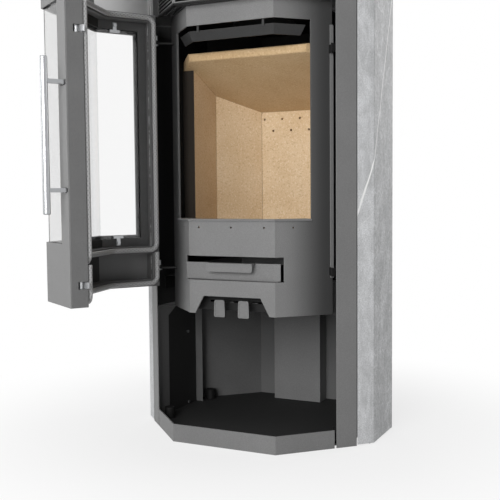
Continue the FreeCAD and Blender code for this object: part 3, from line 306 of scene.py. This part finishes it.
def soapstoneRock(look):
    material, tree, coords = startMaterial("honed_soapstone")
    place = coords["Object"]
    cloud = addNode(tree, "ShaderNodeTexNoise", mottle(*look["cloud"]), {"Vector": place})
    fleck = addNode(tree, "ShaderNodeTexNoise", mottle(*look["fleck"]), {"Vector": place})
    tall = addNode(tree, "ShaderNodeMapping", {"Scale": (1.0, 1.0, look["bandTall"])}, {"Vector": place})
    band = addNode(tree, "ShaderNodeTexNoise",
                   dict(mottle(*look["band"]), Distortion=look["bandTwist"]), {"Vector": tall})
    base = addNode(tree, "ShaderNodeMix", shades(look), {0: cloud}, data_type="RGBA")
    flecks = addNode(tree, "ShaderNodeMapRange", ramp(*look["fleckRange"]), {0: fleck})
    bands = addNode(tree, "ShaderNodeMapRange", ramp(*look["bandRange"]), {0: band})
    tint = addNode(tree, "ShaderNodeMath", links={0: flecks, 1: bands}, operation="MULTIPLY")
    color = addNode(tree, "ShaderNodeMix", {0: 1.0}, {6: base, 7: tint},
                    data_type="RGBA", blend_type="MULTIPLY")
    strewn = addNode(tree, "ShaderNodeMix", {0: look["strewn"]}, {4: place, 5: band.outputs["Color"]},
                     data_type="VECTOR")
    crack = addNode(tree, "ShaderNodeTexVoronoi", {"Scale": perMetre(look["hairMm"])}, {"Vector": strewn},
                    feature="DISTANCE_TO_EDGE")
    hair = addNode(tree, "ShaderNodeMapRange", ramp(*look["hairRange"]), {0: crack})
    patchy = addNode(tree, "ShaderNodeMath", links={0: hair, 1: cloud}, operation="MULTIPLY")
    color = addNode(tree, "ShaderNodeMix", {7: linearColor(look["hair"])}, {0: patchy, 6: color},
                    data_type="RGBA")
    color = sawnFaces(tree, coords, look, color, cloud, strewn)
    color = talcVeins(tree, place, look, color)
    rounded = addNode(tree, "ShaderNodeBevel", {"Radius": look["arrisM"]}, samples=arris["samples"])
    rough = addNode(tree, "ShaderNodeMapRange", ramp(*look["roughRange"]), {0: fleck})
    hone = addNode(tree, "ShaderNodeBump", {"Strength": look["hone"], "Distance": look["honeM"]},
                   {"Height": fleck, "Normal": rounded})
    finishMaterial(tree, {"IOR": look["ior"]}, {"Base Color": color, "Roughness": rough, "Normal": hone})
    return material


soapstone = soapstoneRock(soapstoneLook)


# vermiculite board: pressed flakes, sandy tan with pale and brown grains and a dry open face
nowhere = -1.0  # a height or depth in metres that no board reaches
liningLook = {
    "dark": "#c8ab84", "light": "#dfc9aa", "grain": "#a07e54", "pale": "#f2e6d2", "jointAndShadeTone": "#2c2620",
    "cloud": (70, 4.0), "flakeMm": 2.6, "grains": (3.64, 3.0),
    "brownRange": (0.56, 0.68, 0.0, 0.4), "paleRange": (0.42, 0.3, 0.0, 0.4), "seam": 0.75,
    # painted shade: the ends behind the front plate and a band at the foot are painted near black
    "frontY": -0.066, "endFacing": -0.9, "shadeTopZ": 0.470, "shadeEdgeM": 0.004, "shadeDepth": 0.95,
    "arrisM": 0.0015, "flaky": 0.3, "flakyM": 0.0006, "rough": 0.95, "ior": 1.45}
floorLook = dict(liningLook, shadeTopZ=nowhere)
baffleLook = dict(floorLook, dark="#b6976d", light="#cdb28c", pale="#e0ccaa", seam=0.0, frontY=nowhere)


def vermiculiteBoard(name, look):
    material, tree, coords = startMaterial(name)
    place = coords["Object"]
    cloud = addNode(tree, "ShaderNodeTexNoise", mottle(*look["cloud"]), {"Vector": place})
    flake = addNode(tree, "ShaderNodeTexVoronoi", {"Scale": perMetre(look["flakeMm"])}, {"Vector": place})
    grains = addNode(tree, "ShaderNodeTexNoise", mottle(*look["grains"]), {"Vector": place})
    base = addNode(tree, "ShaderNodeMix", shades(look), {0: cloud}, data_type="RGBA")
    brown = addNode(tree, "ShaderNodeMapRange", ramp(*look["brownRange"]), {0: grains})
    dotted = addNode(tree, "ShaderNodeMix", {7: linearColor(look["grain"])}, {0: brown, 6: base},
                     data_type="RGBA")
    pale = addNode(tree, "ShaderNodeMapRange", ramp(*look["paleRange"]), {0: grains})
    color = addNode(tree, "ShaderNodeMix", {7: linearColor(look["pale"])}, {0: pale, 6: dotted},
                    data_type="RGBA")
    rounded = addNode(tree, "ShaderNodeBevel", {"Radius": look["arrisM"]}, samples=arris["samples"])
    seam = addNode(tree, "ShaderNodeMath", {1: look["seam"]}, {0: nearArris(tree, rounded)},
                   operation="MULTIPLY")
    # painted shade: faces at the front that look to the door, and a band at the foot, join the dark joints
    facing = addNode(tree, "ShaderNodeSeparateXYZ", links={0: coords["Normal"]}).outputs["Y"]
    toDoor = addNode(tree, "ShaderNodeMath", {1: look["endFacing"]}, {0: facing}, operation="LESS_THAN")
    spot = addNode(tree, "ShaderNodeSeparateXYZ", links={0: place}).outputs
    atFront = addNode(tree, "ShaderNodeMath", {1: look["frontY"]}, {0: spot["Y"]}, operation="LESS_THAN")
    end = addNode(tree, "ShaderNodeMath", links={0: toDoor, 1: atFront}, operation="MULTIPLY")
    footShade = addNode(tree, "ShaderNodeMapRange",
                    ramp(look["shadeTopZ"] + look["shadeEdgeM"], look["shadeTopZ"], 0.0, look["shadeDepth"]),
                    {0: spot["Z"]})
    endAndFootShade = addNode(tree, "ShaderNodeMath", links={0: footShade, 1: end}, operation="MAXIMUM")
    jointsAndShade = addNode(tree, "ShaderNodeMath", links={0: seam, 1: endAndFootShade}, operation="MAXIMUM")
    color = addNode(tree, "ShaderNodeMix", {7: linearColor(look["jointAndShadeTone"])}, {0: jointsAndShade, 6: color},
                    data_type="RGBA")
    flaky = addNode(tree, "ShaderNodeBump", {"Strength": look["flaky"], "Distance": look["flakyM"]},
                    {"Height": flake, "Normal": rounded})
    finishMaterial(tree, {"Roughness": look["rough"], "IOR": look["ior"]},
                   {"Base Color": color, "Normal": flaky})
    return material


vermiculite = vermiculiteBoard("pressed_vermiculite_lining", liningLook)
floorBoard = vermiculiteBoard("pressed_vermiculite_floor", floorLook)
baffleBoard = vermiculiteBoard("pressed_vermiculite_baffle", baffleLook)


# zinc-plated and brushed steel: drawn lines and a cool satin sheen
# real lines are finer, and these are drawn as coarse as they need to show
def brushedSteel(name, look):
    material, tree, coords = startMaterial(name)
    drawn = addNode(tree, "ShaderNodeMapping", {"Scale": look["drawn"]}, {"Vector": coords["Object"]})
    lines = addNode(tree, "ShaderNodeTexNoise", mottle(*look["lines"]), {"Vector": drawn})
    color = addNode(tree, "ShaderNodeMix", shades(look), {0: lines}, data_type="RGBA")
    rounded = addNode(tree, "ShaderNodeBevel", {"Radius": look["arrisM"]}, samples=arris["samples"])
    rough = addNode(tree, "ShaderNodeMapRange", ramp(*look["roughRange"]), {0: lines})
    bump = addNode(tree, "ShaderNodeBump", {"Strength": look["groove"], "Distance": look["grooveM"]},
                   {"Height": lines, "Normal": rounded})
    finishMaterial(tree, {"Metallic": 1.0}, {"Base Color": color, "Roughness": rough, "Normal": bump})
    return material


steelLook = {"arrisM": 0.0006, "groove": 0.12, "grooveM": 0.0002}
leverSteel = brushedSteel("satin_lever_steel", dict(
    steelLook, dark="#686868", light="#7e7e7e", lines=(1.4, 4.0), drawn=(0.2, 1.0, 1.0),
    roughRange=(0.0, 1.0, 0.34, 0.52)))
zincSteel = brushedSteel("zinc_plated_steel", dict(
    steelLook, dark="#9a9b9d", light="#c2c4c6", lines=(2.0, 4.0), drawn=(1.0, 1.0, 0.3),
    roughRange=(0.0, 1.0, 0.30, 0.48)))
handleSteel = brushedSteel("brushed_handle_steel", dict(
    steelLook, dark="#8f9092", light="#b5b7b9", lines=(0.9, 4.0), drawn=(1.0, 1.0, 0.08),
    roughRange=(0.0, 1.0, 0.22, 0.40)))

# cast iron: sand-cast skin, near black and pebbly, its grain drawn coarser than sand to show
castIronLook = {"dark": "#242425", "light": "#3a3a3b", "sand": (1.8, 4.0), "pebble": 0.6,
                "pebbleM": 0.0006, "rough": 0.7, "metallic": 0.3}


def castIronSkin(look):
    material, tree, coords = startMaterial("sand_cast_iron")
    sand = addNode(tree, "ShaderNodeTexNoise", mottle(*look["sand"]), {"Vector": coords["Object"]})
    color = addNode(tree, "ShaderNodeMix", shades(look), {0: sand}, data_type="RGBA")
    bump = addNode(tree, "ShaderNodeBump", {"Strength": look["pebble"], "Distance": look["pebbleM"]},
                   {"Height": sand})
    finishMaterial(tree, {"Roughness": look["rough"], "Metallic": look["metallic"]},
                   {"Base Color": color, "Normal": bump})
    return material


castIron = castIronSkin(castIronLook)

# ceramic fire glass: clear with the faintest grey cast and soft ripple from rolling
fireGlassLook = {"cast": "#f6f6f6", "ripple": (40, 1.0), "wave": 0.02, "waveM": 0.0005,
                 "smearRange": (0.0, 1.0, 0.01, 0.05), "ior": 1.5}


def fireGlassPane(look):
    material, tree, coords = startMaterial("ceramic_fire_glass")
    ripple = addNode(tree, "ShaderNodeTexNoise", mottle(*look["ripple"]), {"Vector": coords["Object"]})
    bump = addNode(tree, "ShaderNodeBump", {"Strength": look["wave"], "Distance": look["waveM"]},
                   {"Height": ripple})
    smear = addNode(tree, "ShaderNodeMapRange", ramp(*look["smearRange"]), {0: ripple})
    finishMaterial(tree, {"Base Color": linearColor(look["cast"]), "Transmission Weight": 1.0,
                          "IOR": look["ior"]},
                   {"Roughness": smear, "Normal": bump})
    return material


fireGlass = fireGlassPane(fireGlassLook)


# glass-fibre cord: knitted or woven, its strands crossing on the cord's own map of turn and length,
# with a fuzz that is drawn coarser than the fibres to show
def fibreCord(name, look):
    material, tree, coords = startMaterial(name)
    cordMap = addNode(tree, "ShaderNodeSeparateXYZ", links={0: coords["UV"]}).outputs
    fullTurn = look["strands"] * 2 * math.pi
    around = addNode(tree, "ShaderNodeMath", {1: fullTurn}, {0: cordMap["X"]}, operation="MULTIPLY")
    along = addNode(tree, "ShaderNodeMath", {1: fullTurn}, {0: cordMap["Y"]}, operation="MULTIPLY")
    heights = []
    for way in ("ADD", "SUBTRACT"):
        phase = addNode(tree, "ShaderNodeMath", links={0: around, 1: along}, operation=way)
        heights.append(addNode(tree, "ShaderNodeMath", links={0: phase}, operation="COSINE"))
    weave = addNode(tree, "ShaderNodeMath", links={0: heights[0], 1: heights[1]}, operation="MAXIMUM")
    share = addNode(tree, "ShaderNodeMapRange", ramp(-1.0, 1.0, 0.0, 1.0), {0: weave})
    fuzz = addNode(tree, "ShaderNodeTexNoise", mottle(*look["fuzz"]), {"Vector": coords["Object"]})
    fuzzy = addNode(tree, "ShaderNodeMath", links={0: share, 1: fuzz}, operation="MULTIPLY")
    color = addNode(tree, "ShaderNodeMix", shades(look), {0: share}, data_type="RGBA")
    bump = addNode(tree, "ShaderNodeBump", {"Strength": look["strand"], "Distance": look["strandM"]},
                   {"Height": fuzzy})
    finishMaterial(tree, {"Roughness": look["rough"], "Sheen Weight": look["sheen"]},
                   {"Base Color": color, "Normal": bump})
    return material


fibreLook = {"fuzz": (0.9, 3.0), "strand": 0.5, "strandM": 0.0005}
ropeFibre = fibreCord("knitted_glass_fibre_rope", dict(
    fibreLook, dark="#767676", light="#a4a4a4", strands=5, rough=0.42, sheen=0.2))
tapeFibre = fibreCord("woven_black_glass_tape", dict(
    fibreLook, dark="#0a0a0a", light="#1a1a1a", strands=6, rough=0.9, sheen=0.1))
print("stone, board, glass, cord and steels ready")

finishes = {
    greyPaint: ["base_plinth", "left_jamb", "right_jamb", "ash_drawer_front", "sill", "guide_strips",
                "duct_cover", "keeper_strip"],
    platePaint: ["firebox_front", "top_valance"],
    doorPaint: ["door_shell"],
    rimPaint: ["door_rims"],
    framePaint: ["door_inner_frame"],
    darkPaint: ["air_deflector", "hinge_plates", "convection_grille", "panel_brackets",
                "deflector_hangers"],
    blackPaint: ["air_inlet_collar", "support_rails", "stone_shelves", "top_plate", "air_box",
                 "flue_collar", "firebox_base", "firebox_shell", "firebox_top", "hearth_plate",
                 "hinge_brackets", "latch_keepers"],
    wallPaint: ["left_casing_wall", "right_casing_wall"],
    floorPaint: ["bay_floor"],
    bayPaint: ["rear_casing"],
    soapstone: ["left_stone", "right_stone", "top_stone"],
    vermiculite: ["lining_left", "lining_right", "lining_rear", "lining_rear_left",
                  "lining_rear_right"],
    floorBoard: ["lining_floor"],
    baffleBoard: ["baffle"],
    leverSteel: ["air_lever_left", "air_lever_right", "ash_drawer_tray"],
    zincSteel: ["wall_screws", "hinge_pins", "glass_clips", "clip_screws", "latch_shaft"],
    handleSteel: ["door_handle"],
    castIron: ["grate"],
    fireGlass: ["door_glass"],
    ropeFibre: ["upper_seal", "lower_seal"],
    tapeFibre: ["glass_seal"],
    blackKnob: ["levelling_feet"],
}
for material, names in finishes.items():
    for name in names:
        piece = nodes[name]
        piece.data.materials.clear()
        piece.data.materials.append(material)
unfinished = sorted(set(nodes) - {name for names in finishes.values() for name in names})
print("finishes set, nodes without one:", unfinished)

# the door as drawn closed, in metres: three facets that meet at a fold, then swung about its hinge
doorPlan = {"frontHalf": 0.125, "frontY": -0.234, "hingeAlong": 0.150, "hingeInset": 0.010,
            "foldDegrees": 45.0, "openDegrees": 78.0, "bendM": 0.008}
halfRoot = math.sqrt(0.5)  # sine and cosine of the fold
cornerShift = math.tan(math.radians(doorPlan["foldDegrees"] / 2))


def facetPoint(side, along, inset):
    x = doorPlan["frontHalf"] + (along - inset) * halfRoot
    return Vector((side * x, doorPlan["frontY"] + (along + inset) * halfRoot, 0.0))


hinge = facetPoint(-1.0, doorPlan["hingeAlong"], doorPlan["hingeInset"])
opened = Matrix.Rotation(math.radians(-doorPlan["openDegrees"]), 4, "Z")
swing = Matrix.Translation(hinge) @ opened @ Matrix.Translation(-hinge)


# a point at a signed run from the middle of the front facet, and the way into the stove there
def foldedPoint(run, inset, height):
    fold = doorPlan["frontHalf"] - inset * cornerShift
    bend = doorPlan["bendM"]
    side = 1.0 if run >= 0.0 else -1.0
    past = abs(run) - fold
    front = Vector((0.0, 1.0, 0.0))
    slant = Vector((-side * halfRoot, halfRoot, 0.0))
    corner = Vector((side * fold, doorPlan["frontY"] + inset, 0.0))
    onward = Vector((side * halfRoot, halfRoot, 0.0))
    share = min(max((past + bend) / (2.0 * bend), 0.0), 1.0)
    if share <= 0.0:
        point = corner + Vector((side * past, 0.0, 0.0))
    elif share >= 1.0:
        point = corner + onward * past
    else:
        start = corner - Vector((side * bend, 0.0, 0.0))
        end = corner + onward * bend
        point = start * (1 - share) ** 2 + corner * 2 * share * (1 - share) + end * share ** 2
    point.z = height
    return swing @ point, swing.to_3x3() @ front.lerp(slant, share).normalized()


# a full loop round the window, or an open one with its two ends at the top
def cordCorners(look):
    lost = look["insetM"] * cornerShift
    run = doorPlan["frontHalf"] - lost + look["alongM"] - lost
    low = look["lowM"]
    high = look["highM"]
    if look["closed"]:
        return [(-run, low), (run, low), (run, high), (-run, high)]
    return [(-run, high), (-run, low), (run, low), (run, high)]


leastArcSteps = 4


# runs and heights along straight stretches joined by round corners
def sampledPath(corners, radius, step, closed):
    count = len(corners)
    stops = []
    for i in range(count):
        corner = Vector(corners[i])
        if not closed and i in (0, count - 1):
            stops.append((corner, None, corner))
            continue
        before = (Vector(corners[i - 1]) - corner).normalized()
        after = (Vector(corners[(i + 1) % count]) - corner).normalized()
        middle = corner + (before + after) * radius
        stops.append((corner + before * radius, middle, corner + after * radius))
    points = []
    for i in range(count):
        entry, middle, leave = stops[i]
        if middle is not None:
            arcSteps = max(leastArcSteps, round(radius * math.pi / 2 / step))
            first = entry - middle
            second = leave - middle
            for k in range(arcSteps):
                angle = math.pi / 2 * k / arcSteps
                points.append(middle + first * math.cos(angle) + second * math.sin(angle))
        if not closed and i == count - 1:
            points.append(leave)
            break
        goal = stops[(i + 1) % count][0]
        runSteps = max(1, round((goal - leave).length / step))
        points += [leave.lerp(goal, k / runSteps) for k in range(runSteps)]
    return points


# a cord with raised strands that follows the door's folds
def sweptCord(name, look, material):
    closed = look["closed"]
    path = sampledPath(cordCorners(look), look["cornerM"], look["stepM"], closed)
    stations = [foldedPoint(run, look["insetM"], height) for run, height in path]
    count = len(stations)
    ringSize = look["ringSize"]
    shape = bmesh.new()
    uvLayer = shape.loops.layers.uv.new("cordMap")
    rings = []
    lengths = [0.0]
    for i, (point, inward) in enumerate(stations):
        behind = stations[i - 1][0] if closed or i > 0 else point
        ahead = stations[(i + 1) % count][0] if closed or i + 1 < count else point
        sideways = (ahead - behind).normalized().cross(inward).normalized()
        travel = 2 * math.pi * lengths[-1] / look["pitchM"]
        ring = []
        for k in range(ringSize):
            angle = 2 * math.pi * k / ringSize
            phase = look["strands"] * angle
            weave = max(math.cos(phase + travel), math.cos(phase - travel))
            swell = 1.0 + look["reliefM"] * weave / look["thickM"]
            offset = inward * math.cos(angle) * look["thickM"] + sideways * math.sin(angle) * look["wideM"]
            ring.append(shape.verts.new(point + offset * swell))
        rings.append(ring)
        lengths.append(lengths[-1] + (ahead - point).length)
    girth = look["pitchM"] * look["strands"]
    for i in range(count if closed else count - 1):
        following = rings[(i + 1) % count]
        for k in range(ringSize):
            near = (k + 1) % ringSize
            face = shape.faces.new((rings[i][k], following[k], following[near], rings[i][near]))
            face.smooth = True
            corners = ((k, i), (k, i + 1), (k + 1, i + 1), (k + 1, i))
            for loop, (turn, station) in zip(face.loops, corners):
                loop[uvLayer].uv = (turn / ringSize, lengths[station] / girth)
    if not closed:
        shape.faces.new(rings[0])
        shape.faces.new(rings[-1][::-1])
    bmesh.ops.recalc_face_normals(shape, faces=shape.faces[:])
    mesh = bpy.data.meshes.new(name)
    shape.to_mesh(mesh)
    shape.free()
    mesh.materials.append(material)
    cord = bpy.data.objects.new(name, mesh)
    bpy.context.scene.collection.objects.link(cord)
    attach(cord, "door")
    return cord


# rope seals pressed on the door's rims, 11 mm thick
# they lie inset behind the door's face, and reach along the side facets
ropeSeal = {"insetM": 0.0412, "alongM": 0.129, "cornerM": 0.016, "stepM": 0.002, "thickM": 0.0053,
            "wideM": 0.0053, "ringSize": 20, "strands": 5, "pitchM": 0.009, "reliefM": 0.0002}
upperRope = dict(ropeSeal, lowM=0.4235, highM=0.954, closed=True)
lowerRope = dict(ropeSeal, lowM=0.346, highM=0.4177, closed=False)
ropes = (("upper_rope", upperRope, "upper_seal"), ("lower_rope", lowerRope, "lower_seal"))
for name, look, node in ropes:
    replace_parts(sweptCord(name, look, ropeFibre), node)

# flat tape between the glass and the door's skin
glassTape = {"insetM": 0.00375, "alongM": 0.1005, "lowM": 0.4515, "highM": 0.9245, "closed": True,
             "cornerM": 0.006, "stepM": 0.003, "thickM": 0.0011, "wideM": 0.0043, "ringSize": 16,
             "strands": 6, "pitchM": 0.006, "reliefM": 0.0}
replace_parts(sweptCord("glass_tape", glassTape, tapeFibre), "glass_seal")
print("rope seals and tape ready")

# camera at the photo's view, its turns in radians
cameraLook = {"place": (0.84237, -1.83467, 0.54763), "yaw": -0.44987, "pitch": 0.06449,
              "roll": 0.00849, "lensMm": 60.955, "sensorMm": 36.0, "nearM": 0.05}


def setCamera(look):
    data = bpy.data.cameras.new("photo_camera")
    data.lens = look["lensMm"]
    data.sensor_width = look["sensorMm"]
    data.clip_start = look["nearM"]
    yaw, pitch, roll = look["yaw"], look["pitch"], look["roll"]
    ahead = Vector((math.sin(yaw) * math.cos(pitch), math.cos(yaw) * math.cos(pitch), -math.sin(pitch)))
    level = Vector((math.cos(yaw), -math.sin(yaw), 0.0))
    below = ahead.cross(level)
    right = math.cos(roll) * level + math.sin(roll) * below
    up = math.sin(roll) * level - math.cos(roll) * below
    turn = Matrix((right, up, -ahead)).transposed().to_4x4()
    camera = bpy.data.objects.new("photo_camera", data)
    camera.matrix_world = Matrix.Translation(look["place"]) @ turn
    bpy.context.scene.collection.objects.link(camera)
    bpy.context.scene.camera = camera


setCamera(cameraLook)

# soft studio light: a strong panel in front, weaker ones at the left, the right rear, overhead and behind
lamps = {
    "front_panel": {"place": (0.25, -3.0, 1.25), "aim": (0.0, 0.0, 0.6), "sizeM": 1.4, "watts": 72},
    "near_left_panel": {"place": (-1.35, -2.8, 1.2), "aim": (0.0, -0.2, 0.6), "sizeM": 1.4, "watts": 5},
    "far_left_panel": {"place": (-2.7, -1.0, 1.3), "aim": (-0.2, 0.0, 0.6), "sizeM": 1.4, "watts": 16},
    "right_panel": {"place": (1.8, 2.0, 1.3), "aim": (0.2, 0.0, 0.6), "sizeM": 1.4, "watts": 28},
    "top_panel": {"place": (0.2, -0.3, 3.2), "aim": (0.0, 0.0, 0.5), "sizeM": 2.0, "watts": 18},
    "back_panel": {"place": (-1.8, 2.4, 1.8), "aim": (0.0, 0.0, 0.6), "sizeM": 1.8, "watts": 30},
}
for name, lamp in lamps.items():
    data = bpy.data.lights.new(name, "AREA")
    data.energy = lamp["watts"]
    data.size = lamp["sizeM"]
    light = bpy.data.objects.new(name, data)
    light.visible_camera = False
    light.visible_transmission = False
    toward = Vector(lamp["aim"]) - Vector(lamp["place"])
    turn = toward.to_track_quat("-Z", "Y").to_matrix().to_4x4()
    light.matrix_world = Matrix.Translation(lamp["place"]) @ turn
    bpy.context.scene.collection.objects.link(light)


# rays that show the white background: straight to the eye, through glass, or off a sheen
def seenRay(tree):
    ray = addNode(tree, "ShaderNodeLightPath").outputs
    straight = addNode(tree, "ShaderNodeMath",
                       links={0: ray["Is Camera Ray"], 1: ray["Is Transmission Ray"]}, operation="MAXIMUM")
    return addNode(tree, "ShaderNodeMath", links={0: straight, 1: ray["Is Glossy Ray"]},
                   operation="MAXIMUM")


studioLook = {"ambient": 0.13, "white": (1, 1, 1, 1), "halfM": 9.0, "pale": "#dcdcdc",
              "fadeRange": (0.3, 0.95, 0.72, 1.0)}  # metres from the middle to a share of white


def setWorld(look):
    world = bpy.data.worlds.new("studio")
    bpy.context.scene.world = world
    world.use_nodes = True
    tree = world.node_tree
    tree.nodes.clear()
    level = addNode(tree, "ShaderNodeMapRange", ramp(0.0, 1.0, look["ambient"], 1.0), {0: seenRay(tree)})
    sky = addNode(tree, "ShaderNodeBackground", {"Color": look["white"]}, {"Strength": level})
    addNode(tree, "ShaderNodeOutputWorld", links={"Surface": sky})


# pale floor that keeps the shadow close by and runs out to white
def setFloor(look):
    mesh = bpy.data.meshes.new("studio_floor")
    shape = bmesh.new()
    bmesh.ops.create_grid(shape, x_segments=1, y_segments=1, size=look["halfM"])
    shape.to_mesh(mesh)
    shape.free()
    floor = bpy.data.objects.new("studio_floor", mesh)
    bpy.context.scene.collection.objects.link(floor)
    material, tree, coords = startMaterial("pale_studio_floor")
    away = addNode(tree, "ShaderNodeVectorMath", links={0: coords["Object"]}, operation="LENGTH")
    fade = addNode(tree, "ShaderNodeMapRange", ramp(*look["fadeRange"]), {0: away},
                   interpolation_type="SMOOTHSTEP")
    amount = addNode(tree, "ShaderNodeMath", links={0: fade, 1: seenRay(tree)}, operation="MULTIPLY")
    matt = addNode(tree, "ShaderNodeBsdfDiffuse", {"Color": linearColor(look["pale"])})
    white = addNode(tree, "ShaderNodeEmission", {"Color": look["white"], "Strength": 1.0})
    blend = addNode(tree, "ShaderNodeMixShader", links={0: amount, 1: matt, 2: white})
    addNode(tree, "ShaderNodeOutputMaterial", links={"Surface": blend})
    mesh.materials.append(material)


setWorld(studioLook)
setFloor(studioLook)
bpy.context.scene.view_settings.view_transform = "Standard"
print("camera, light and floor ready")
